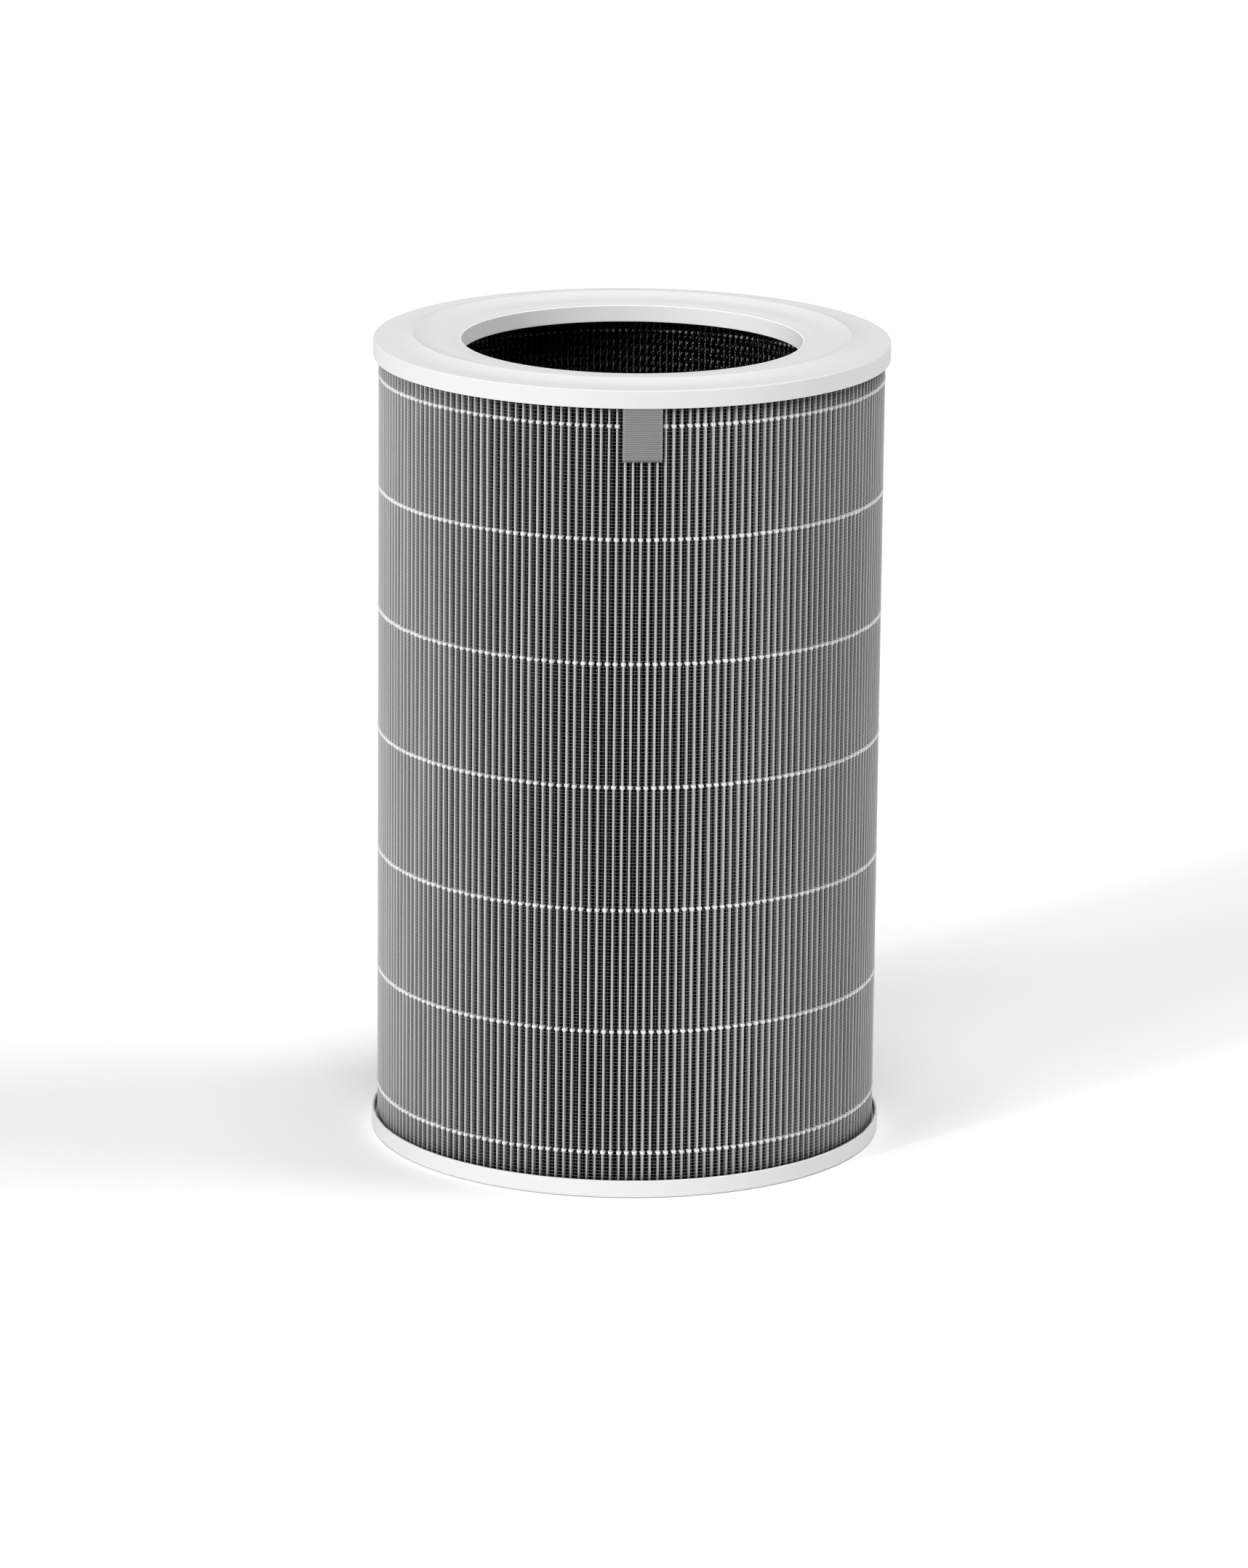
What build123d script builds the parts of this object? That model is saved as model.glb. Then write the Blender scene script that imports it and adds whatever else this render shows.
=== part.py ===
from build123d import *
import math
import os

# Cylindrical air purifier filter: a ring of pleated filter sheet, glued at both ends into
# white moulded caps. Air goes in through the pleats and leaves by the opening in the top cap.
# The origin is the centre of the underside, +Z points up, and the front, where the pull
# tab hangs, faces -Y. Sizes are in millimetres and angles in degrees from +X.

# Both end caps
CAP_RADIUS = 110.0
FILTER_HEIGHT = 348.2
SKIRT_DEPTH = 7.7
SKIRT_WALL = 1.1
PLATE_THICKNESS = 1.8
EDGE_CHAMFER = 0.9

# Flat ring of the top cap, from its edge in to the opening, and the sealing ridge on it
TOP_RING_WIDTH = 37.4
COLLAR_WALL = 1.6
COLLAR_DEPTH = 7.7
RIDGE_INSET = 16.8
RIDGE_HEIGHT = 2.1
RIDGE_SHOULDER_HEIGHT = 0.9
RIDGE_SHOULDER_RUN = 3.2
RIDGE_FOOT_RUN = 9.0

# Adhesive that holds the pleats in the caps
POTTING_THICKNESS = 1.6
POTTING_MARGIN = 1.0

# Pleated sheet
PLEAT_COUNT = 200
PLEAT_DEPTH = 15.2
SHEET_THICKNESS = 0.65
FIRST_PLEAT_ANGLE = -89.5

# Adhesive beads over the pleat tips
EVEN_BEAD_COUNT = 6
LOWEST_BEAD = 19.3
SECOND_BEAD_DROP = 63.6
TOP_BEAD_DROP = 15.6
BEAD_HEIGHT = 1.6
BEAD_RISE = 0.3
PLEATS_PER_BEAD_RUN = 5

# Net sleeve inside the pleats
SLEEVE_CLEARANCE = 0.3
SLEEVE_WALL = 0.8
SLEEVE_SIDES = 20
MESH_ROWS = 3
MESH_STRAND = 3.0
MESH_END_BAND = 5.0

# Pull tab, a ribbon folded double
TAB_WIDTH = 16.4
TAB_DROP = 22.7
TAB_ANGLE = -87.5
TAB_CLEARANCE = 0.05
RIBBON_THICKNESS = 0.3

os.makedirs("parts", exist_ok=True)


def polar_point(radius, angle):
    """Return the flat point at a radius from the filter's axis and an angle from +X."""
    return (radius * math.cos(math.radians(angle)), radius * math.sin(math.radians(angle)))


# Radii from the skirt inwards: the tab hangs inside the skirt, the beads' corners clear the
# tab, the flats of the beads lie on the pleat tips, and the sleeve stands inside the pleats.
skirt_inner_radius = CAP_RADIUS - SKIRT_WALL
tab_outer_radius = skirt_inner_radius - TAB_CLEARANCE
tab_inner_radius = tab_outer_radius - 2 * RIBBON_THICKNESS
bead_runs = PLEAT_COUNT // PLEATS_PER_BEAD_RUN
bead_corner_radius = tab_inner_radius - TAB_CLEARANCE
bead_flat_radius = bead_corner_radius * math.cos(math.pi / bead_runs)
pleat_outer_radius = bead_flat_radius - BEAD_RISE
pleat_inner_radius = pleat_outer_radius - PLEAT_DEPTH
sleeve_corner_radius = pleat_inner_radius - SLEEVE_CLEARANCE
sleeve_flat_radius = sleeve_corner_radius * math.cos(math.pi / SLEEVE_SIDES)
potting_flat_radius = sleeve_flat_radius - SLEEVE_WALL - POTTING_MARGIN

# Heights from the underside up
media_bottom = PLATE_THICKNESS + POTTING_THICKNESS
top_plate_underside = FILTER_HEIGHT - PLATE_THICKNESS
media_top = top_plate_underside - POTTING_THICKNESS
media_height = media_top - media_bottom

# Top end cap: a plate with a skirt round the pleats, a collar round the opening and a raised
# ridge with hollowed slopes that seals against the purifier.
ridge_radius = CAP_RADIUS - RIDGE_INSET
ridge_shoulder = FILTER_HEIGHT + RIDGE_SHOULDER_HEIGHT
opening_radius = CAP_RADIUS - TOP_RING_WIDTH
collar_outer_radius = opening_radius + COLLAR_WALL
with BuildPart() as top_end_cap:
    with BuildSketch(Plane.XZ):
        with BuildLine():
            Polyline(
                (opening_radius, FILTER_HEIGHT - COLLAR_DEPTH),
                (opening_radius, FILTER_HEIGHT),
                (ridge_radius - RIDGE_FOOT_RUN, FILTER_HEIGHT),
                (ridge_radius - RIDGE_SHOULDER_RUN, ridge_shoulder),
                (ridge_radius, FILTER_HEIGHT + RIDGE_HEIGHT),
                (ridge_radius + RIDGE_SHOULDER_RUN, ridge_shoulder),
                (ridge_radius + RIDGE_FOOT_RUN, FILTER_HEIGHT),
                (CAP_RADIUS, FILTER_HEIGHT),
                (CAP_RADIUS, FILTER_HEIGHT - SKIRT_DEPTH),
                (skirt_inner_radius, FILTER_HEIGHT - SKIRT_DEPTH),
                (skirt_inner_radius, top_plate_underside),
                (collar_outer_radius, top_plate_underside),
                (collar_outer_radius, FILTER_HEIGHT - COLLAR_DEPTH),
                close=True,
            )
        make_face()
    revolve(axis=Axis.Z)
    land_edges = edges().filter_by_position(Axis.Z, FILTER_HEIGHT, FILTER_HEIGHT)
    land_edges = land_edges.filter_by(GeomType.CIRCLE).sort_by(SortBy.RADIUS)
    chamfer([land_edges[0], land_edges[-1]], length=EDGE_CHAMFER)

# Bottom end cap: a closed pan that the filter stands on
with BuildPart() as bottom_end_cap:
    with BuildSketch():
        Circle(radius=CAP_RADIUS)
    extrude(amount=SKIRT_DEPTH)
    with BuildSketch(Plane.XY.offset(PLATE_THICKNESS)):
        Circle(radius=skirt_inner_radius)
    extrude(amount=SKIRT_DEPTH - PLATE_THICKNESS, mode=Mode.SUBTRACT)
    chamfer(edges().sort_by(Axis.Z)[0], length=EDGE_CHAMFER)

# Pleated sheet: one composite sheet folded into a closed ring of flat-tipped pleats. The
# outline of its outer face runs over each tip into the next valley, and the outline of its
# inner face lies one sheet thickness behind it.
pleat_angle = 360 / PLEAT_COUNT
outer_fold = math.degrees(SHEET_THICKNESS / pleat_outer_radius)
inner_fold = math.degrees(SHEET_THICKNESS / pleat_inner_radius)
outer_outline = []
inner_outline = []
for pleat in range(PLEAT_COUNT):
    tip_angle = FIRST_PLEAT_ANGLE + pleat * pleat_angle
    valley_angle = tip_angle + pleat_angle / 2
    outer_outline.append(polar_point(pleat_outer_radius, tip_angle - outer_fold))
    outer_outline.append(polar_point(pleat_outer_radius, tip_angle + outer_fold))
    outer_outline.append(polar_point(pleat_inner_radius + SHEET_THICKNESS, valley_angle))
    inner_outline.append(polar_point(pleat_outer_radius - SHEET_THICKNESS, tip_angle))
    inner_outline.append(polar_point(pleat_inner_radius, valley_angle - inner_fold))
    inner_outline.append(polar_point(pleat_inner_radius, valley_angle + inner_fold))

with BuildPart() as pleated_sheet:
    with BuildSketch(Plane.XY.offset(media_bottom)):
        Polygon(*outer_outline)
        Polygon(*inner_outline, mode=Mode.SUBTRACT)
    extrude(amount=media_height)


def make_potting(base):
    """Make the ring of set adhesive whose underside is at the height base.

    It fills the cap out to the skirt, and its inner edge runs along the sides of the sleeve.
    """
    with BuildPart() as potting:
        with BuildSketch(Plane.XY.offset(base)):
            Circle(radius=skirt_inner_radius)
            RegularPolygon(
                potting_flat_radius, SLEEVE_SIDES, major_radius=False, mode=Mode.SUBTRACT
            )
        extrude(amount=POTTING_THICKNESS)
    return potting


top_potting = make_potting(media_top)
bottom_potting = make_potting(PLATE_THICKNESS)


def make_glue_bead(level):
    """Make one bead ring at a height: straight runs that each lie on a few pleat tips."""
    run_angle = 360 / bead_runs
    corner_angle = FIRST_PLEAT_ANGLE + run_angle / 2
    with BuildPart() as glue_bead:
        with BuildSketch(Plane.XY.offset(level - BEAD_HEIGHT / 2)):
            RegularPolygon(bead_corner_radius, bead_runs, rotation=corner_angle)
            RegularPolygon(
                pleat_outer_radius,
                bead_runs,
                major_radius=False,
                rotation=corner_angle,
                mode=Mode.SUBTRACT,
            )
        extrude(amount=BEAD_HEIGHT)
    return glue_bead


# The beads from the top: one just under the top cap, and the rest evenly spaced
bead_spacing = (FILTER_HEIGHT - SECOND_BEAD_DROP - LOWEST_BEAD) / (EVEN_BEAD_COUNT - 1)
glue_beads = [make_glue_bead(FILTER_HEIGHT - TOP_BEAD_DROP)]
for bead in range(EVEN_BEAD_COUNT):
    glue_beads.append(make_glue_bead(FILTER_HEIGHT - SECOND_BEAD_DROP - bead * bead_spacing))

# Net sleeve: a thin tube with staggered diamond openings, which leave crossing strands and
# a plain band at each end. Each column of openings is centred on a corner of the tube and
# is cut through both sides at once.
side_angle = 360 / SLEEVE_SIDES
side_width = 2 * sleeve_flat_radius * math.tan(math.radians(side_angle / 2))
row_step = media_height / (2 * MESH_ROWS)
strand_slope = math.atan2(row_step, side_width)
mesh_half_width = side_width - MESH_STRAND / 2 / math.sin(strand_slope)
mesh_half_height = row_step - MESH_STRAND / 2 / math.cos(strand_slope)
with BuildPart() as net_sleeve:
    with BuildSketch(Plane.XY.offset(media_bottom)):
        RegularPolygon(sleeve_flat_radius, SLEEVE_SIDES, major_radius=False)
        RegularPolygon(
            sleeve_flat_radius - SLEEVE_WALL,
            SLEEVE_SIDES,
            major_radius=False,
            mode=Mode.SUBTRACT,
        )
    extrude(amount=media_height)
    for column in range(SLEEVE_SIDES // 2):
        outward = polar_point(1, side_angle * column)
        sideways = polar_point(1, side_angle * column + 90)
        rows = range(1 - column % 2, 2 * MESH_ROWS + 1, 2)
        with BuildSketch(Plane((0, 0, media_bottom), x_dir=(*sideways, 0), z_dir=(*outward, 0))):
            with Locations(*[(0, row * row_step) for row in rows]):
                Polygon(
                    (mesh_half_width, 0),
                    (0, mesh_half_height),
                    (-mesh_half_width, 0),
                    (0, -mesh_half_height),
                )
            with Locations((0, media_height / 2)):
                Rectangle(
                    2 * side_width, media_height - 2 * MESH_END_BAND, mode=Mode.INTERSECT
                )
        extrude(amount=CAP_RADIUS, both=True, mode=Mode.SUBTRACT)

# Pull tab: a doubled ribbon that follows the skirt's curve, with its ends set in the top
# adhesive and its rounded fold hanging below the skirt.
tab_sweep = math.degrees(TAB_WIDTH / tab_outer_radius)
tab_bottom = FILTER_HEIGHT - SKIRT_DEPTH - TAB_DROP
with BuildPart() as pull_tab:
    with BuildSketch(Plane.XZ.rotated((0, 0, TAB_ANGLE - tab_sweep / 2))):
        with Locations((tab_inner_radius, tab_bottom)):
            Rectangle(
                2 * RIBBON_THICKNESS, media_top - tab_bottom, align=(Align.MIN, Align.MIN)
            )
    revolve(axis=Axis.Z, revolution_arc=tab_sweep)

pieces = {
    "top_end_cap": top_end_cap,
    "bottom_end_cap": bottom_end_cap,
    "pleated_sheet": pleated_sheet,
    "top_potting": top_potting,
    "bottom_potting": bottom_potting,
    "net_sleeve": net_sleeve,
    "pull_tab": pull_tab,
}
for number, glue_bead in enumerate(glue_beads, start=1):
    pieces[f"glue_bead_{number}"] = glue_bead

for name, piece in pieces.items():
    piece.part.label = name
    export_step(piece.part, f"parts/{name}.step")
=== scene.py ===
import bpy
import numpy as np
from mathutils import Matrix


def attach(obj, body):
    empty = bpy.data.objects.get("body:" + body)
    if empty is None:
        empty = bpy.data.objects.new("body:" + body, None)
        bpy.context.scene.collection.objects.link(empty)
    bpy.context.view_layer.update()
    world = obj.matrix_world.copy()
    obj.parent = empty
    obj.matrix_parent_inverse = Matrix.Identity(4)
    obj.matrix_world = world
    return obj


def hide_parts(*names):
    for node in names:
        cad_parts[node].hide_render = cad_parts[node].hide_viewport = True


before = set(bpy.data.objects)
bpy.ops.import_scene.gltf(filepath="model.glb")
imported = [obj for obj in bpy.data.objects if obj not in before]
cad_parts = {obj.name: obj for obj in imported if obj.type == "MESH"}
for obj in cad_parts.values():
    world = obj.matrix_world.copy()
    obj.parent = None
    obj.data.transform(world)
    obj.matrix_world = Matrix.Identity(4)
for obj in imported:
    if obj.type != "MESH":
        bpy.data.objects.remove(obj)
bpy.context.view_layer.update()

# Bottom end cap. The filter stands on a shallow white plastic pan, moulded in one piece with
# soft edges, whose rim stands up round the feet of the pleats. Sizes here and below are in
# millimetres, measured from the filter's axis and from its underside.


def rounded_section(corners):
    """A closed outline in the (radius, height) plane from rows of (radius, height, rounding).

    Each corner becomes an arc tangent to both of its sides: the arc starts at the distance
    t = rounding * tan(turn / 2) before the corner, and its points are the quadratic mix
    (1-k)^2 * start + 2k(1-k) * corner + k^2 * end, bent to a circle by the weight cos(turn / 2).
    A support point on each side of an arc keeps the shading of the flat runs even.
    """
    corners = np.asarray(corners, float)
    place, rounding = corners[:, :2], corners[:, 2]
    back = np.roll(place, 1, axis=0) - place
    ahead = np.roll(place, -1, axis=0) - place
    back_run = np.linalg.norm(back, axis=1, keepdims=True)
    ahead_run = np.linalg.norm(ahead, axis=1, keepdims=True)
    back, ahead = back / back_run, ahead / ahead_run
    turn = np.pi - np.arccos(np.clip((back * ahead).sum(1), -1, 1))
    reach = (rounding * np.tan(turn / 2))[:, None]
    k = np.linspace(0, 1, 7)[None, :, None]
    weight = np.cos(turn / 2)[:, None, None]
    start, end = (place + back * reach)[:, None], (place + ahead * reach)[:, None]
    share = (1 - k) ** 2 + 2 * k * (1 - k) * weight + k**2
    arc = ((1 - k) ** 2 * start + 2 * k * (1 - k) * weight * place[:, None] + k**2 * end) / share
    support = 0.35 * reach + 0.05
    before = (place + back * (reach + support))[:, None]
    after = (place + ahead * (reach + support))[:, None]
    return np.concatenate([before, arc, after], axis=1).reshape(-1, 2)


def revolve(section, turns=360):
    """Carries a (radius, height) outline round the axis: (r cos a, r sin a, z) for each angle a.

    Points of the outline that fall together, as at a sharp corner, are made one first.
    """
    section = section[np.linalg.norm(section - np.roll(section, 1, axis=0), axis=1) > 1e-6]
    angle = np.linspace(0, 2 * np.pi, turns, endpoint=False)[:, None]
    radius, height = section[None, :, 0], section[None, :, 1]
    return np.stack(
        [radius * np.cos(angle), radius * np.sin(angle), height + 0 * angle], axis=-1
    )


def grid_faces(rows, columns, wrap_rows=False, wrap_columns=False):
    """The four corner numbers of each face of a grid of points, closed on itself where asked."""
    i = np.arange(rows if wrap_rows else rows - 1)[:, None]
    j = np.arange(columns if wrap_columns else columns - 1)[None, :]
    i2, j2 = (i + 1) % rows, (j + 1) % columns
    corners = [i * columns + j, i2 * columns + j, i2 * columns + j2, i * columns + j2]
    return np.stack(corners, axis=-1).reshape(-1, 4)


def make_piece(name, points, faces, lids=(), smooth_lids=False):
    """Makes a piece from points in millimetres, four-cornered faces and many-cornered lids."""
    mesh = bpy.data.meshes.new(name)
    sizes = np.concatenate([np.full(len(faces), 4), [len(lid) for lid in lids]]).astype(np.int32)
    corners = np.concatenate([faces.ravel(), *lids]).astype(np.int32)
    mesh.vertices.add(len(points))
    mesh.vertices.foreach_set("co", (np.asarray(points) * 0.001).astype(np.float32).ravel())
    mesh.loops.add(len(corners))
    mesh.loops.foreach_set("vertex_index", corners)
    mesh.polygons.add(len(sizes))
    starts = np.concatenate([[0], np.cumsum(sizes)[:-1]]).astype(np.int32)
    mesh.polygons.foreach_set("loop_start", starts)
    shade = np.ones(len(sizes), bool)
    shade[len(faces):] = smooth_lids
    mesh.polygons.foreach_set("use_smooth", shade)
    mesh.update(calc_edges=True)
    mesh.validate()
    piece = bpy.data.objects.new(name, mesh)
    bpy.context.scene.collection.objects.link(piece)
    return piece


def new_material(name, roughness, specular=0.5):
    """Starts a material: its node tree and its shader with plain values."""
    material = bpy.data.materials.new(name)
    material.use_nodes = True
    tree = material.node_tree
    shader = tree.nodes["Principled BSDF"]
    shader.inputs["Roughness"].default_value = roughness
    shader.inputs["Specular IOR Level"].default_value = specular
    return material, tree, shader


def add_node(tree, kind, settings=None, **inputs):
    """Adds a node, sets its options, and fills or links its inputs by name or number."""
    node = tree.nodes.new(kind)
    for option, value in (settings or {}).items():
        setattr(node, option, value)
    for key, value in inputs.items():
        socket = node.inputs[int(key[1:]) if key[0] == "i" and key[1:].isdigit() else key]
        if isinstance(value, bpy.types.NodeSocket):
            tree.links.new(value, socket)
        else:
            socket.default_value = value
    return node


def build_mottle_group():
    """Soft clouds and fine grain on Object coordinates, as moulded or poured material has.

    Colour is the mix of Low and High by the clouds; Grain is the height for a bump.
    """
    group = bpy.data.node_groups.new("mottle_and_grain", "ShaderNodeTree")
    for name, kind in [
        ("Low", "NodeSocketColor"),
        ("High", "NodeSocketColor"),
        ("Cloud Scale", "NodeSocketFloat"),
        ("Grain Scale", "NodeSocketFloat"),
    ]:
        group.interface.new_socket(name, in_out="INPUT", socket_type=kind)
    group.interface.new_socket("Colour", in_out="OUTPUT", socket_type="NodeSocketColor")
    group.interface.new_socket("Grain", in_out="OUTPUT", socket_type="NodeSocketFloat")
    given = group.nodes.new("NodeGroupInput")
    result = group.nodes.new("NodeGroupOutput")
    place = add_node(group, "ShaderNodeTexCoord")
    clouds = add_node(
        group, "ShaderNodeTexNoise", Vector=place.outputs["Object"],
        Scale=given.outputs["Cloud Scale"], Detail=4.0, Roughness=0.6,
    )
    grain = add_node(
        group, "ShaderNodeTexNoise", Vector=place.outputs["Object"],
        Scale=given.outputs["Grain Scale"], Detail=3.0, Roughness=0.65,
    )
    colour = add_node(
        group, "ShaderNodeMix", {"data_type": "RGBA"},
        Factor=clouds.outputs["Fac"], i6=given.outputs["Low"], i7=given.outputs["High"],
    )
    group.links.new(colour.outputs[2], result.inputs["Colour"])
    group.links.new(grain.outputs["Fac"], result.inputs["Grain"])
    return group


mottle_group = build_mottle_group()


def add_mottle(tree, low, high, cloud_scale, grain_scale):
    """Places the mottle and grain group in a material with its own colours and scales."""
    node = add_node(tree, "ShaderNodeGroup", {"node_tree": mottle_group})
    node.inputs["Low"].default_value = (*low, 1)
    node.inputs["High"].default_value = (*high, 1)
    node.inputs["Cloud Scale"].default_value = cloud_scale
    node.inputs["Grain Scale"].default_value = grain_scale
    return node


def add_bump(tree, shader, height, distance, strength=1.0):
    """Feeds a height into the shader's normal through a bump of that distance in metres."""
    bump = add_node(
        tree, "ShaderNodeBump", Height=height, Distance=distance, Strength=strength
    )
    tree.links.new(bump.outputs["Normal"], shader.inputs["Normal"])
    return bump


cap_plastic, tree, shader = new_material("white_cap_plastic", 0.75, 0.12)
mottle = add_mottle(tree, (0.67, 0.67, 0.67), (0.70, 0.70, 0.70), 9.0, 900.0)
tree.links.new(mottle.outputs["Colour"], shader.inputs["Base Color"])
add_bump(tree, shader, mottle.outputs["Grain"], 0.00003, 0.5)

cap_radius = 110.0
skirt_inner = 108.9
pan = rounded_section([
    (0.02, 0.0, 0.0),
    (cap_radius, 0.0, 1.3),
    (cap_radius, 7.7, 0.45),
    (skirt_inner, 7.7, 0.3),
    (skirt_inner, 1.8, 0.5),
    (0.02, 1.8, 0.0),
])
pan_points = revolve(pan)
bottom_cap = make_piece(
    "bottom_cap",
    pan_points.reshape(-1, 3),
    grid_faces(*pan_points.shape[:2], wrap_rows=True, wrap_columns=True),
)
bottom_cap.data.materials.append(cap_plastic)
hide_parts("bottom_end_cap")
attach(bottom_cap, "root")

# Adhesive in both caps. A white hot melt is poured into each cap, the pleats are pressed into
# it, and it sets as a flat ring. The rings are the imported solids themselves, finished as the
# cloudy set adhesive.

adhesive, tree, shader = new_material("set_adhesive", 0.42, 0.4)
mottle = add_mottle(tree, (0.70, 0.70, 0.695), (0.79, 0.79, 0.78), 350.0, 2500.0)
tree.links.new(mottle.outputs["Colour"], shader.inputs["Base Color"])
add_bump(tree, shader, mottle.outputs["Grain"], 0.00005, 0.4)
shader.inputs["Coat Weight"].default_value = 0.15
shader.inputs["Coat Roughness"].default_value = 0.2
for node in ("bottom_potting", "top_potting"):
    for material_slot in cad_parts[node].material_slots:
        material_slot.material = adhesive

# Pleated sheet. A sheet of black carbon fibre faced with pale filter felt is scored, folded
# into 200 pleats, closed into a ring and set in the adhesive. Its colour is painted palest on
# the tips and fades with depth to near black in the folds, as painted shade of the deep folds.

pleats = 200
tip_radius = 107.57
pleat_depth = 15.2
sheet_thickness = 0.65
media_bottom, media_top = 3.4, 344.8
rng = np.random.default_rng(7)
pleat_number = np.arange(pleats)
fold_angle = -89.5 + 1.8 * pleat_number + rng.normal(0, 0.03, pleats)
fold_phase = rng.uniform(0, 2 * np.pi, (3, pleats))


def fold_drift(height, part):
    """The slow wander of each fold along its height, between about -1 and 1.

    It is the mean of two sine waves, 210 and 95 mm long, whose phases differ from fold to fold.
    The height has one row a level, and the result one column a fold.
    """
    wave = 2 * np.pi * np.asarray(height, float)[..., None]
    phase = fold_phase[part]
    return 0.6 * np.sin(wave / 210 + phase) + 0.4 * np.sin(wave / 95 + 2 * phase)


def tip_section(path, half_width, flatness=0.75):
    """The rounded tip of a fold by the path from its middle, as (sideways, depth, slant).

    Over the tip the section is the flattened half circle (w sin s, f w (1 - cos s)), and past it
    the flank runs on towards the next valley, a little outwards.
    """
    turn = np.clip(path / half_width, -np.pi / 2, np.pi / 2)
    beyond = path - turn * half_width
    sideways = half_width * np.sin(turn) + 0.045 * beyond
    depth = flatness * half_width * (1 - np.cos(turn)) + np.abs(beyond)
    return sideways, depth, turn


levels = np.linspace(media_bottom, media_top, 15)
tip_drift = 0.045 * fold_drift(levels, 0)
tip_lean = 0.13 * fold_drift(levels, 1)
tip_width = 0.46 + 0.07 * fold_drift(levels, 2)

valley_radius = tip_radius - pleat_depth + sheet_thickness
arc = np.linspace(-np.pi / 2, np.pi / 2, 9)
flank = np.array([0.12, 0.45, 0.8])  # shares of the way from the valley to the tip


def outer_face(levels):
    """The face that shows outside, as angles in degrees and radii, (level, fold, point).

    The tip is the flattened half circle of tip_section, and each flank is the straight line from
    the tip's end to the middle of the valley, in angle and in radius.
    """
    width = tip_width[..., None]
    lean = tip_lean[..., None]
    tip_x = width * np.sin(arc) + lean * np.cos(arc)
    tip_r = tip_radius - 0.75 * width * (1 - np.cos(arc))
    tip_a = np.degrees(tip_x / tip_radius) + tip_drift[..., None]
    middle = fold_angle[None, :, None]
    before = (middle - (middle - np.roll(fold_angle, 1)[None, :, None]) % 360 / 2) - middle
    after = (np.roll(fold_angle, -1)[None, :, None] - middle) % 360 / 2
    down = before + (tip_a[..., :1] - before) * flank
    down_r = valley_radius + (tip_r[..., :1] - valley_radius) * flank
    up = after + (tip_a[..., -1:] - after) * flank[::-1]
    up_r = valley_radius + (tip_r[..., -1:] - valley_radius) * flank[::-1]
    valley = before + 0 * down[..., :1]
    angle = np.concatenate([valley, down, tip_a, up], axis=-1) + middle
    radius = np.concatenate([valley * 0 + valley_radius, down_r, tip_r, up_r], axis=-1)
    return angle, radius


def inner_face(levels):
    """The face that shows inside, point for point behind the outer one.

    Its folds are the other way about: a narrow crease behind each outer tip, and a rounded tip
    as wide as the outer ones behind each outer valley.
    """
    middle = fold_angle[None, :, None]
    before = -((middle - np.roll(fold_angle, 1)[None, :, None]) % 360 / 2)
    after = (np.roll(fold_angle, -1)[None, :, None] - middle) % 360 / 2
    crease_radius = tip_radius - sheet_thickness
    inner_radius = tip_radius - pleat_depth
    ones = np.ones((len(levels), 1, 1))
    half = np.degrees(0.62 / inner_radius)
    turn = np.linspace(0, np.pi / 2, 4)
    tip_a = half * np.sin(turn)
    tip_r = inner_radius + 0.75 * 0.62 * (1 - np.cos(turn))
    crease_a = np.degrees(0.03 / crease_radius) * np.sin(arc) + tip_drift[..., None]
    crease_r = crease_radius - 0.06 * (1 - np.cos(arc))
    left = (before + tip_a) * ones
    right = (after - tip_a[::-1]) * ones
    angle = np.concatenate([left, crease_a, right[..., :-1]], axis=-1) + middle
    radius = np.concatenate([
        tip_r + 0 * left, crease_r + 0 * crease_a, tip_r[::-1][:-1] + 0 * right[..., :-1]
    ], axis=-1)
    return angle, radius


outer_angle, outer_radius = outer_face(levels)
inner_angle, inner_radius = inner_face(levels)
angle = np.radians(np.concatenate([outer_angle, inner_angle[::-1]])).reshape(2 * len(levels), -1)
radius = np.concatenate([outer_radius, inner_radius[::-1]]).reshape(2 * len(levels), -1)
height = np.concatenate([levels, levels[::-1]])[:, None] + 0 * radius
sheet_points = np.stack([radius * np.cos(angle), radius * np.sin(angle), height], axis=-1)
rows, columns = radius.shape
# The folds run anticlockwise and the rows upwards on the outside, so columns come first
sheet_faces = grid_faces(rows, columns, wrap_rows=True, wrap_columns=True)[:, ::-1]
pleated = make_piece("pleated_media", sheet_points.reshape(-1, 3), sheet_faces)

# The sheet's own map: across is the distance along the folded path, up is the height, in metres
step = np.linalg.norm(np.diff(sheet_points[0], axis=0, append=sheet_points[0][:1]), axis=-1)
across = np.concatenate([[0], np.cumsum(step)])
corner_across = np.stack([across[:-1], across[:-1], across[1:], across[1:]], axis=-1)
corner_across = np.broadcast_to(corner_across[None], (rows, columns, 4)).reshape(-1, 4)[:, ::-1]
corner_up = height.reshape(-1)[sheet_faces]
sheet_map = np.stack([corner_across, corner_up], axis=-1).reshape(-1, 2) * 0.001
map_layer = pleated.data.uv_layers.new(name="sheet_map")
map_layer.data.foreach_set("uv", sheet_map.astype(np.float32).ravel())


def add_depth_mask(tree, place, shallow, deep, power, strength):
    """A mask by the distance from the filter's axis: strength * way ^ power.

    Way runs from 0 at the deep radius to 1 at the shallow one, both in metres.
    """
    flat = add_node(
        tree, "ShaderNodeVectorMath", {"operation": "MULTIPLY"},
        i0=place.outputs["Object"], i1=(1, 1, 0),
    )
    away = add_node(tree, "ShaderNodeVectorMath", {"operation": "LENGTH"}, i0=flat.outputs[0])
    way = add_node(
        tree, "ShaderNodeMapRange", Value=away.outputs["Value"],
        **{"From Min": deep, "From Max": shallow, "To Min": 0.0, "To Max": 1.0},
    )
    curve = add_node(
        tree, "ShaderNodeMath", {"operation": "POWER"}, i0=way.outputs[0], i1=power
    )
    return add_node(
        tree, "ShaderNodeMath", {"operation": "MULTIPLY"}, i0=curve.outputs[0], i1=strength
    )


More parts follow.
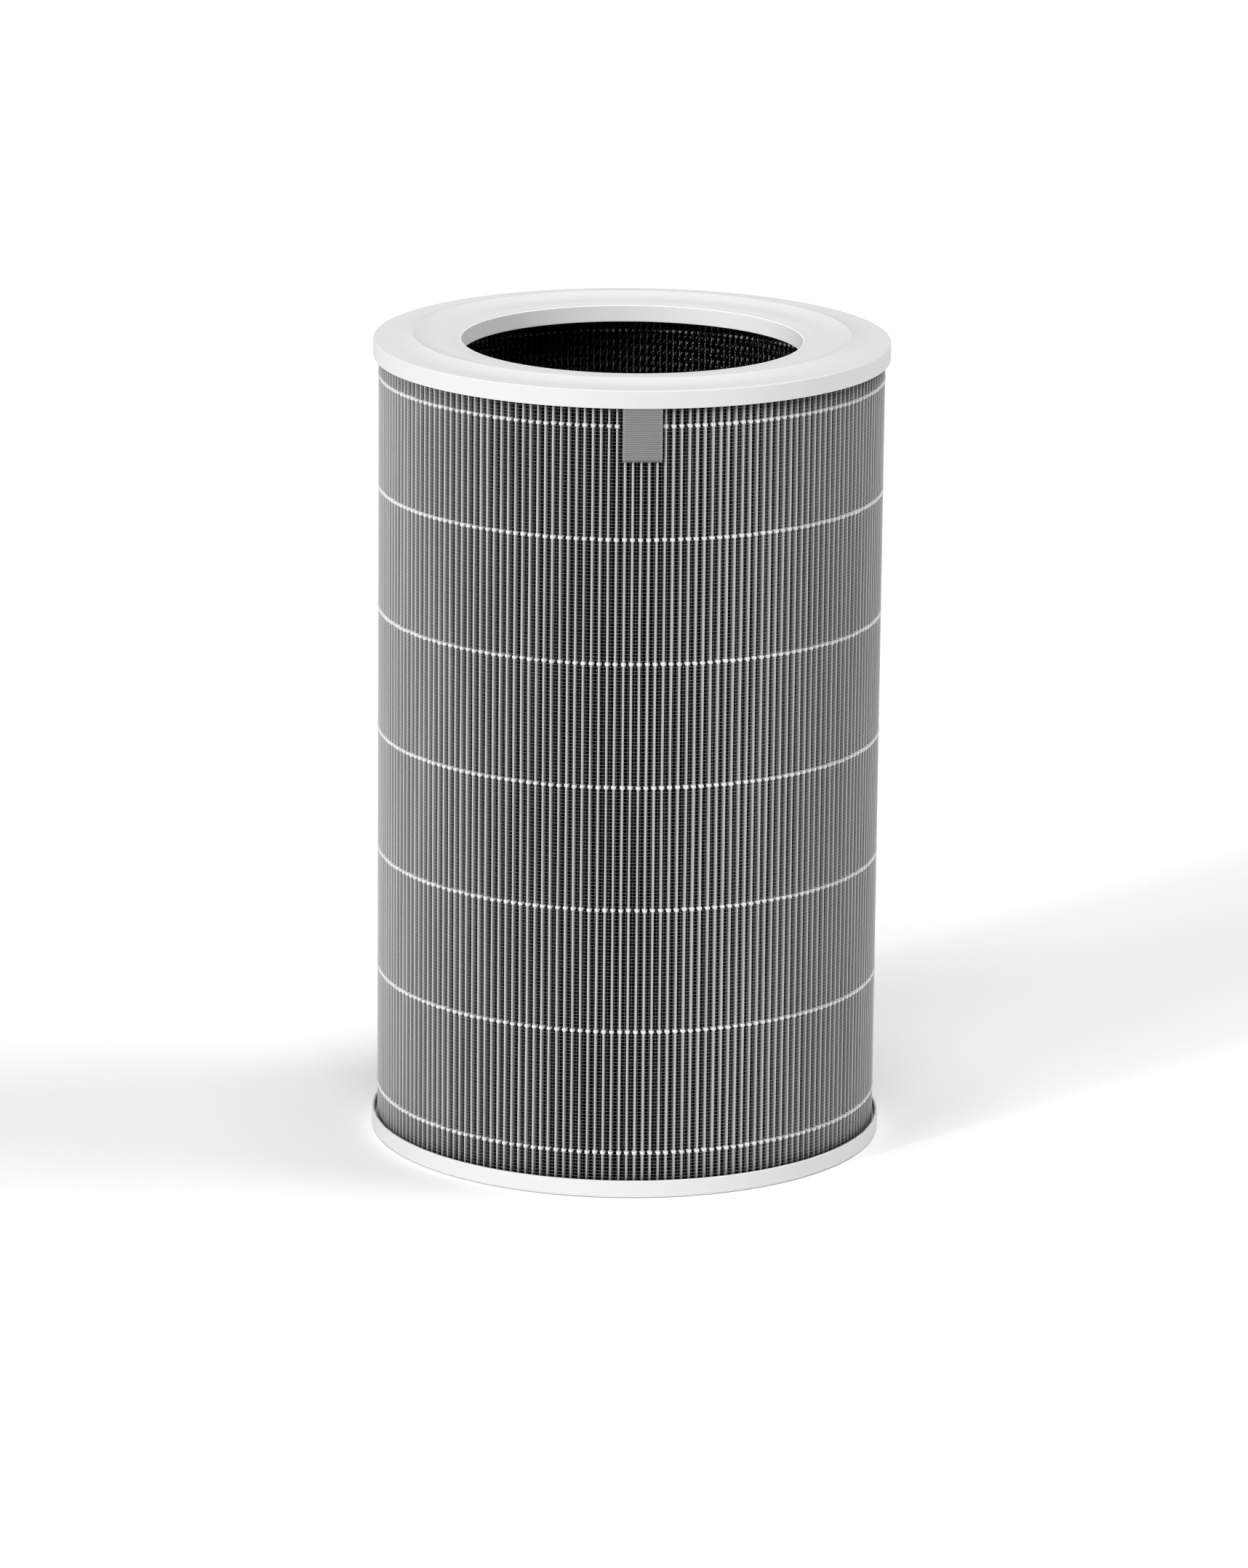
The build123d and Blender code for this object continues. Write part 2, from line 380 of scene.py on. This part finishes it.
filter_sheet, tree, shader = new_material("pleated_felt_with_painted_fold_shade", 0.85, 0.2)
place = add_node(tree, "ShaderNodeTexCoord")
sheet_uv = add_node(tree, "ShaderNodeUVMap", {"uv_map": "sheet_map"})
# Painted light and shade by the distance from the axis: the crests are painted palest, and the
# felt colour fades with depth down the flanks, outside and inside, into painted shade.
tip_painted_light_mask = add_depth_mask(tree, place, 0.10752, 0.10727, 1.0, 1.0)
outer_fold_painted_shade = add_depth_mask(tree, place, 0.1070, 0.1048, 1.5, 1.0)
inner_fold_painted_shade = add_depth_mask(tree, place, 0.09237, 0.09245, 1.0, 0.9)
fold_painted_shade_mask = add_node(
    tree, "ShaderNodeMath", {"operation": "MAXIMUM"},
    i0=outer_fold_painted_shade.outputs[0], i1=inner_fold_painted_shade.outputs[0],
)
# Felt fibres lie every way but mostly along the height, the way the sheet was rolled out
along = add_node(
    tree, "ShaderNodeMapping", {"vector_type": "TEXTURE"},
    Vector=sheet_uv.outputs["UV"], Scale=(1.0, 3.0, 1.0),
)
felt_fibre = add_node(
    tree, "ShaderNodeTexNoise", Vector=along.outputs[0], Scale=2200.0, Detail=4.0, Roughness=0.7
)
felt = add_node(
    tree, "ShaderNodeMix", {"data_type": "RGBA"},
    Factor=felt_fibre.outputs["Fac"], i6=(0.27, 0.27, 0.27, 1), i7=(0.35, 0.35, 0.345, 1),
)
# The near black that the folds fade to; over the deep flanks it is painted shade.
fibre = add_mottle(tree, (0.003, 0.003, 0.003), (0.012, 0.012, 0.012), 700.0, 5000.0)
flank_colour_with_painted_shade = add_node(
    tree, "ShaderNodeMix", {"data_type": "RGBA"},
    Factor=fold_painted_shade_mask.outputs[0], i6=fibre.outputs["Colour"], i7=felt.outputs[2],
)
colour = add_node(
    tree, "ShaderNodeMix", {"data_type": "RGBA"},
    Factor=tip_painted_light_mask.outputs[0], i6=flank_colour_with_painted_shade.outputs[2], i7=(0.475, 0.475, 0.47, 1),
)
tree.links.new(colour.outputs[2], shader.inputs["Base Color"])
add_bump(tree, shader, felt_fibre.outputs["Fac"], 0.00006, 0.6)
pleated.data.materials.append(filter_sheet)
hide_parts("pleated_sheet")
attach(pleated, "root")

# Outer net. A fine pale net of single threads is wrapped round the tips of the pleats, and the
# beads hold it on. It keeps coarse dust and fingers out, and its square meshes are 1.45 mm
# wide, so the dark folds show through it.

net_pitch = 1.45
wrap_radius = 107.72
hoop_thread, upright_thread = 0.032, 0.018


def net_hoops():
    """The level threads: three-sided rings of 120 lengths round the filter, one a mesh.

    Each wanders a little up and down, by two sine waves round the ring with random phases.
    """
    count = int((media_top - media_bottom) / net_pitch)
    level = media_bottom + net_pitch * (np.arange(count) + 0.5)[:, None, None]
    angle = np.linspace(0, 2 * np.pi, 120, endpoint=False)[None, :, None]
    phase = rng.uniform(0, 2 * np.pi, (2, count, 1, 1))
    wander = 0.07 * np.sin(3 * angle + phase[0]) + 0.05 * np.sin(11 * angle + phase[1])
    around = (np.arange(3) * 2 * np.pi / 3)[None, None, :]
    reach = wrap_radius + hoop_thread * np.cos(around) + 0 * angle + 0 * level
    height = level + wander + hoop_thread * np.sin(around)
    points = np.stack([reach * np.cos(angle), reach * np.sin(angle), height], axis=-1)
    first = np.arange(count)[:, None, None] * 360
    return points.reshape(-1, 3), (grid_faces(120, 3, True, True) + first).reshape(-1, 4)


def net_uprights():
    """The upright threads: three-sided, in four straight lengths, one a mesh round the ring."""
    count = round(2 * np.pi * wrap_radius / net_pitch)
    angle = np.linspace(0, 2 * np.pi, count, endpoint=False)[:, None, None]
    height = np.linspace(media_bottom, media_top, 5)[None, :, None]
    wander = rng.normal(0, 0.0005, (count, 5, 1))
    around = (np.arange(3) * 2 * np.pi / 3)[None, None, :]
    reach = wrap_radius - 0.02 + upright_thread * np.cos(around) + 0 * wander
    turned = angle + wander + upright_thread * np.sin(around) / wrap_radius
    points = np.stack([
        reach * np.cos(turned), reach * np.sin(turned), height + 0 * turned
    ], axis=-1)
    first = np.arange(count)[:, None, None] * 15
    faces = (grid_faces(5, 3, False, True) + first).reshape(-1, 4)[:, ::-1]
    ends = np.concatenate([[[2, 1, 0]] + first[:, 0], [[12, 13, 14]] + first[:, 0]])
    return points.reshape(-1, 3), faces, ends


hoop_points, hoop_faces = net_hoops()
upright_points, upright_faces, upright_ends = net_uprights()
outer_net = make_piece(
    "outer_net",
    np.concatenate([hoop_points, upright_points]),
    np.concatenate([hoop_faces, upright_faces + len(hoop_points)]),
    list(upright_ends + len(hoop_points)),
)
net_thread, tree, shader = new_material("pale_net_thread", 0.45, 0.4)
mottle = add_mottle(tree, (0.60, 0.60, 0.60), (0.68, 0.68, 0.67), 90.0, 3000.0)
tree.links.new(mottle.outputs["Colour"], shader.inputs["Base Color"])
add_bump(tree, shader, mottle.outputs["Grain"], 0.00002, 0.3)
outer_net.data.materials.append(net_thread)
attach(outer_net, "root")

# Adhesive beads. Seven lines of hot melt are drawn round the finished ring, outside and inside,
# to hold the folds apart. Each line lies on the pleats as a row of drops that wrap back over
# their tips.

bead_heights = np.array([332.6, 284.6, 231.54, 178.48, 125.42, 72.36, 19.3])


def bead_drops(heights, outward, reach_round, half_height, thickness):
    """The drops of a number of lines of melt, as points, faces and lids.

    A drop is a saddle over the tip's section. At the share a of its length its cut is a half
    ellipse, (h cos b, t sin b), with h and t both fading by sqrt(1 - a^6) towards the ends, where
    it grips the two flanks. A lid behind closes it inside the fold.
    """
    a = np.linspace(-0.985, 0.985, 9)[:, None]
    b = np.linspace(-np.pi / 2, np.pi / 2, 5)[None, :]
    size = (len(heights), pleats, 1, 1)
    grow = 1 + rng.normal(0, 0.06, size)
    rise = rng.normal(0, 0.07, size)
    slip = rng.normal(0, 0.10, size)
    fade = np.sqrt(1 - a**6)
    up = half_height * (1 - 0.18 * np.abs(a)) * fade * np.sin(b) * grow + rise
    stand_off = (thickness * (1 + 0.45 * a**2) * fade * np.cos(b)) * grow - 0.04
    sideways, depth, turn = tip_section(reach_round * a * grow + slip, 0.58)
    if outward:
        drift = 0.045 * fold_drift(heights, 0)[..., None, None]
        middle = fold_angle[None, :, None, None] + drift
        reach = tip_radius - depth + stand_off * np.cos(turn)
    else:
        gap = (np.roll(fold_angle, -1) - fold_angle) % 360
        middle = (fold_angle + gap / 2)[None, :, None, None]
        reach = tip_radius - pleat_depth + depth - stand_off * np.cos(turn)
    turn_by = (sideways + stand_off * np.sin(turn)) / reach
    place_angle = np.radians(middle) + (turn_by if outward else -turn_by)
    height = heights[:, None, None, None] + up
    points = np.stack([
        reach * np.cos(place_angle), reach * np.sin(place_angle), height + 0 * reach
    ], axis=-1)
    one = grid_faces(9, 5)
    index = np.arange(45).reshape(9, 5)
    edge = np.concatenate([index[:-1, 0], index[-1, :-1], index[:0:-1, -1], index[0, :0:-1]])
    first = np.arange(len(heights) * pleats)[:, None, None] * 45
    return points.reshape(-1, 3), (one + first).reshape(-1, 4), list((edge[::-1] + first[:, 0]))


outer_points, outer_faces, outer_lids = bead_drops(bead_heights, True, 3.4, 0.88, 0.46)
outer_beads = make_piece("outer_beads", outer_points, outer_faces, outer_lids)
inner_points, inner_faces, inner_lids = bead_drops(bead_heights, False, 2.0, 0.7, 0.38)
inner_beads = make_piece("inner_beads", inner_points, inner_faces, inner_lids)
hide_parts(*[f"glue_bead_{number}" for number in range(1, 8)])
for beads in (outer_beads, inner_beads):
    beads.data.materials.append(adhesive)
    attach(beads, "root")

# Net sleeve. A glossy black plastic net, extruded as crossing strands that are welded where
# they meet, lines the inside of the pleats. Its diamonds are nearly twice as tall as wide.

strand_count = 217
strand_radius = 0.25
net_radius = 91.55
diamond_height = 4.92


def net_strands(direction):
    """One family of strands: each point of a helix carries a six-sided ring of the strand.

    The helix turns by one diamond width for each diamond height. The ring lies in the plane of
    the outward direction and the direction across the strand, (cos k, sin k) times its radius.
    """
    height = np.linspace(media_bottom, media_top, 25)[None, :, None]
    start = np.arange(strand_count)[:, None, None] * 2 * np.pi / strand_count
    climb = direction * 2 * np.pi / strand_count / diamond_height
    angle = start + climb * (height - media_bottom)
    around = (np.arange(6) * np.pi / 3)[None, None, :]
    weave = net_radius + direction * 0.1
    slope = np.arctan2(climb * weave, 1.0)
    out = weave + strand_radius * np.cos(around)
    across = strand_radius * np.sin(around)
    turned = angle + across * np.cos(slope) / weave
    rise = height - across * np.sin(slope)
    rise = np.clip(rise, media_bottom, media_top)
    points = np.stack([out * np.cos(turned), out * np.sin(turned), rise + 0 * turned], axis=-1)
    ring = grid_faces(25, 6, wrap_columns=True)
    first = np.arange(strand_count)[:, None, None] * 150
    foot, head = np.arange(6)[::-1][None], np.arange(144, 150)[None]
    ends = np.concatenate([foot + first[:, 0], head + first[:, 0]])
    return points.reshape(-1, 3), (ring + first).reshape(-1, 4), ends


right_points, right_faces, right_ends = net_strands(1)
left_points, left_faces, left_ends = net_strands(-1)
shift = len(right_points)
net_sleeve = make_piece(
    "diamond_net",
    np.concatenate([right_points, left_points]),
    np.concatenate([right_faces, left_faces + shift])[:, ::-1],
    list(np.concatenate([right_ends, left_ends + shift])[:, ::-1]),
)
net_plastic, tree, shader = new_material("glossy_black_net", 0.1, 0.6)
mottle = add_mottle(tree, (0.006, 0.006, 0.006), (0.012, 0.012, 0.012), 120.0, 1800.0)
tree.links.new(mottle.outputs["Colour"], shader.inputs["Base Color"])
# The strands swell where they are welded, at every half diamond of height: a sine of the height
place = add_node(tree, "ShaderNodeTexCoord")
parts = add_node(tree, "ShaderNodeSeparateXYZ", Vector=place.outputs["Object"])
turns = add_node(
    tree, "ShaderNodeMath", {"operation": "MULTIPLY"},
    i0=parts.outputs["Z"], i1=4 * np.pi / (diamond_height * 0.001),
)
swell = add_node(tree, "ShaderNodeMath", {"operation": "SINE"}, i0=turns.outputs[0])
weld = add_node(
    tree, "ShaderNodeMath", {"operation": "MULTIPLY_ADD"},
    i0=mottle.outputs["Grain"], i1=0.1, i2=swell.outputs[0],
)
add_bump(tree, shader, weld.outputs[0], 0.00012, 1.0)
net_sleeve.data.materials.append(net_plastic)
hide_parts("net_sleeve")
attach(net_sleeve, "root")

# Pull tab. A woven grey ribbon with cross ribs is folded double. Its ends are set in the
# adhesive under the top cap, and the loop hangs out below the skirt to lift the filter by.

tab_width = 16.4
tab_middle = -87.5
tab_bottom, tab_top = 317.8, 344.8
rib_pitch = 0.76
ribbon_half = 0.13
layer_out, layer_in = 108.71, 108.39

fold_radius = (layer_out - layer_in) / 2
straight = tab_top - tab_bottom - fold_radius - ribbon_half
samples = 5
down = np.linspace(0, straight, int(straight / rib_pitch * samples) + 1)
bend = np.linspace(0, np.pi, 9)[1:-1]
path_r = np.concatenate([
    0 * down + layer_out,
    (layer_out + layer_in) / 2 + fold_radius * np.cos(bend),
    0 * down + layer_in,
])
path_z = np.concatenate([
    tab_top - down, tab_top - straight - fold_radius * np.sin(bend), tab_top - down[::-1]
])
facing = np.concatenate([0 * down, bend, 0 * down + np.pi])
path_s = np.concatenate([[0], np.cumsum(np.hypot(np.diff(path_r), np.diff(path_z)))])
ribbon_length = path_s[-1]

# Section of the ribbon: out across its face, round the edge and back across its reverse
face_x = np.concatenate([
    [-1.0, -0.992, -0.975, -0.95, -0.92, -0.885, -0.86], np.linspace(-0.8, 0.8, 15),
    [0.86, 0.885, 0.92, 0.95, 0.975, 0.992, 1.0],
])
back_x = np.array([0.985, 0.9, 0.5, 0.0, -0.5, -0.9, -0.985])
section_x = np.concatenate([face_x, back_x])
front = np.concatenate([0 * face_x + 1, 0 * back_x - 1])
edge_round = np.sqrt(np.clip(1 - np.clip((np.abs(section_x) - 0.975) / 0.025, 0, 1) ** 2, 0, 1))


def ribbon_surface():
    """The ribbon's section carried along its folded path, as points (path, section).

    A rib is a rounded cord across the ribbon, with the height |cos| of the path over its pitch.
    It wavers a little sideways, fades at the fold, and ends in small loops at both selvedges.
    """
    s, x = path_s[:, None], section_x[None, :]
    waver = 0.05 * np.sin(5.1 * x + 0.35 * s) + 0.03 * np.sin(11.3 * x + 1.3 + 0.9 * s)
    phase = np.pi * (s + waver) / rib_pitch
    rib = np.abs(np.cos(phase))
    calm = np.clip(np.abs(s - ribbon_length / 2) / 1.2, 0, 1)
    selvedge = np.clip((np.abs(x) - 0.88) / 0.04, 0, 1)
    lift = (ribbon_half - 0.03) + calm * (0.11 * rib - 0.05) + 0.03 * selvedge
    off = np.where(front > 0, lift, -(ribbon_half - 0.03) + 0 * lift) * edge_round
    side = 1 + 0.055 * calm * (rib - 0.6) * selvedge
    sideways = x * side * tab_width / 2
    r = path_r[:, None] + off * np.cos(facing)[:, None]
    z = path_z[:, None] - off * np.sin(facing)[:, None]
    turn = np.radians(tab_middle) + sideways / ((layer_out + layer_in) / 2)
    return np.stack([r * np.cos(turn), r * np.sin(turn), z], axis=-1), calm * rib, selvedge


ribbon_points, ribbon_rib, ribbon_edge = ribbon_surface()
rows, columns = ribbon_points.shape[:2]
last = (rows - 1) * columns
tab_loop = make_piece(
    "pull_tab_loop",
    ribbon_points.reshape(-1, 3),
    grid_faces(rows, columns, wrap_columns=True),
    [np.arange(columns), last + np.arange(columns)[::-1]],
)
for name, values in (("rib_height", ribbon_rib), ("selvedge", ribbon_edge + 0 * ribbon_rib)):
    attribute = tab_loop.data.attributes.new(name, "FLOAT", "POINT")
    attribute.data.foreach_set("value", values.astype(np.float32).ravel())
ribbon, tree, shader = new_material("ribbed_ribbon_with_painted_groove_shade", 0.75, 0.25)
yarn = add_mottle(tree, (0.215, 0.215, 0.215), (0.27, 0.27, 0.27), 1500.0, 4200.0)
rib_height = add_node(tree, "ShaderNodeAttribute", {"attribute_name": "rib_height"})
edge_mask = add_node(tree, "ShaderNodeAttribute", {"attribute_name": "selvedge"})
# Painted shade: the yarn colour darkens to near black in the grooves between the ribs.
groove_painted_shade = add_node(
    tree, "ShaderNodeMapRange", Value=rib_height.outputs["Fac"],
    **{"From Min": 0.0, "From Max": 0.75, "To Min": 0.9, "To Max": 0.0},
)
shaded = add_node(
    tree, "ShaderNodeMix", {"data_type": "RGBA"},
    Factor=groove_painted_shade.outputs[0], i6=yarn.outputs["Colour"], i7=(0.06, 0.06, 0.06, 1),
)
edge_share = add_node(
    tree, "ShaderNodeMath", {"operation": "MULTIPLY"}, i0=edge_mask.outputs["Fac"], i1=0.2
)
edged = add_node(
    tree, "ShaderNodeMix", {"data_type": "RGBA"},
    Factor=edge_share.outputs[0], i6=shaded.outputs[2], i7=(0.42, 0.42, 0.42, 1),
)
tree.links.new(edged.outputs[2], shader.inputs["Base Color"])
add_bump(tree, shader, yarn.outputs["Grain"], 0.00006, 0.6)
tab_loop.data.materials.append(ribbon)
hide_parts("pull_tab")
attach(tab_loop, "root")

# Top end cap. A white plastic ring, moulded in one piece, closes the top. It has a skirt over
# the pleats, a collar down into the outlet opening, and a raised ridge with hollow slopes that
# seals against the purifier.

top_height = 348.2
opening_radius = 72.6
collar_outer = 74.2
ridge_crest = 93.2
ridge_height = 2.1


def ridge_slope(run):
    """One hollow slope of the ridge, from its crest outwards: height * (1 - way / run) ^ 2.3."""
    way = np.linspace(0, 1, 26) ** 1.4
    rise = ridge_height * (1 - way) ** 2.3
    return np.stack([ridge_crest + run * way, top_height + rise], axis=-1)


def step_slope():
    """The hollow step near the opening, 0.4 high and 3.9 wide: height = 0.4 * way ^ 2."""
    way = np.linspace(0, 1, 10)
    return np.stack([73.4 + 3.9 * way, top_height - 0.4 + 0.4 * way**2], axis=-1)


inner_slope = ridge_slope(-10.0)[::-1]
outer_slope = ridge_slope(10.2)
top_section = rounded_section([
    (opening_radius, 340.5, 0.35),
    (opening_radius, top_height - 0.4, 0.35),
    (73.4, top_height - 0.4, 0.0),
    (77.3, top_height, 0.0),
    (81.0, top_height, 0.0),
    (ridge_crest, top_height, 0.0),
    (105.0, top_height, 0.0),
    (cap_radius, top_height, 0.6),
    (cap_radius, 340.5, 0.35),
    (skirt_inner, 340.5, 0.3),
    (skirt_inner, 346.4, 0.4),
    (collar_outer, 346.4, 0.4),
    (collar_outer, 340.5, 0.4),
])
# The two corners of the step and the one at the crest give way to the hollow slopes
top_section = np.concatenate([
    top_section[:9 * 2], step_slope(), top_section[9 * 4:9 * 5],
    inner_slope, outer_slope[1:], top_section[9 * 6:],
])
top_points = revolve(top_section)
top_cap = make_piece(
    "top_cap",
    top_points.reshape(-1, 3),
    grid_faces(*top_points.shape[:2], wrap_rows=True, wrap_columns=True)[:, ::-1],
)
# The collar's inner wall is painted near white, painted light that makes it paler than the rest
top_plastic, tree, shader = new_material("white_top_cap_with_painted_collar_light", 0.75, 0.12)
mottle = add_mottle(tree, (0.67, 0.67, 0.67), (0.70, 0.70, 0.70), 9.0, 900.0)
place = add_node(tree, "ShaderNodeTexCoord")
collar_painted_light = add_depth_mask(tree, place, 0.0727, 0.0732, 1.0, 1.0)
colour = add_node(
    tree, "ShaderNodeMix", {"data_type": "RGBA"},
    Factor=collar_painted_light.outputs[0], i6=mottle.outputs["Colour"], i7=(0.93, 0.93, 0.93, 1),
)
tree.links.new(colour.outputs[2], shader.inputs["Base Color"])
add_bump(tree, shader, mottle.outputs["Grain"], 0.00003, 0.5)
top_cap.data.materials.append(top_plastic)
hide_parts("top_end_cap")
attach(top_cap, "root")

# Studio. The filter stands on a plain white floor that runs up into a low backdrop, under a
# broad soft light from the left, the front and above, and is seen through a long lens from a
# little above.

floor_paint, tree, shader = new_material("studio_white", 0.9, 0.1)
mottle = add_mottle(tree, (0.955, 0.955, 0.955), (0.97, 0.97, 0.97), 2.0, 40.0)
tree.links.new(mottle.outputs["Colour"], shader.inputs["Base Color"])


def backdrop():
    """A floor that bends up into a low wall: a flat run and a quarter circle."""
    side = np.linspace(-12000, 12000, 9)[:, None]
    turn = np.linspace(0, np.pi / 2, 17)
    run = np.concatenate([[-8000, 0], 5000 + 1200 * np.sin(turn)])[None, :]
    rise = np.concatenate([[0, 0], 1200 * (1 - np.cos(turn))])[None, :]
    return np.stack([side + 0 * run, run + 0 * side, rise + 0 * side - 0.05], axis=-1)


floor_points = backdrop()
floor = make_piece(
    "studio_floor", floor_points.reshape(-1, 3), grid_faces(*floor_points.shape[:2])
)
floor.data.materials.append(floor_paint)

world = bpy.data.worlds.new("studio_air")
bpy.context.scene.world = world
world.use_nodes = True
world.node_tree.nodes["Background"].inputs["Color"].default_value = (1, 1, 1, 1)
world.node_tree.nodes["Background"].inputs["Strength"].default_value = 0.02


def add_panel(name, leftward, elevation, strength, spread=30):
    """A far light: degrees to the left of the front, degrees up, its strength and its spread."""
    light = bpy.data.lights.new(name, "SUN")
    light.energy = strength
    light.angle = np.radians(spread)
    lamp = bpy.data.objects.new(name, light)
    a, e = np.radians(leftward), np.radians(elevation)
    away = np.array([-np.sin(a) * np.cos(e), -np.cos(a) * np.cos(e), np.sin(e)])
    right = np.cross([0, 0, 1], away)
    right /= np.linalg.norm(right)
    up = np.cross(away, right)
    turn = np.stack([right, up, away], axis=1)
    lamp.matrix_world = Matrix([[*row, 0] for row in turn] + [[0, 0, 0, 1]])
    bpy.context.scene.collection.objects.link(lamp)
    return lamp


add_panel("key", 45, 20, 1.73)
add_panel("key_core", 45, 24, 0.5, spread=4)
add_panel("front_upper", 0, 50, 0.85)
add_panel("right_fill", -90, 20, 0.66)
add_panel("right_upper", -90, 50, 0.79)
add_panel("overhead", 0, 89, 1.21)
bpy.context.scene.view_settings.view_transform = "Standard"

camera_data = bpy.data.cameras.new("camera")
camera_data.lens = 178.914
camera_data.sensor_width = 36.0
camera_data.clip_end = 60.0
camera = bpy.data.objects.new("camera", camera_data)
yaw, pitch, roll = np.radians([-0.02874, 14.7342, 0.56515])
ahead = np.array([np.sin(yaw) * np.cos(pitch), np.cos(yaw) * np.cos(pitch), -np.sin(pitch)])
level = np.array([np.cos(yaw), -np.sin(yaw), 0.0])
upright = np.cross(level, ahead)
right = np.cos(roll) * level + np.sin(roll) * upright
up = -np.sin(roll) * level + np.cos(roll) * upright
camera.matrix_world = Matrix([
    [right[0], up[0], -ahead[0], 0.0],
    [right[1], up[1], -ahead[1], -3.24909],
    [right[2], up[2], -ahead[2], 1.00659],
    [0, 0, 0, 1],
])
bpy.context.scene.collection.objects.link(camera)
bpy.context.scene.camera = camera
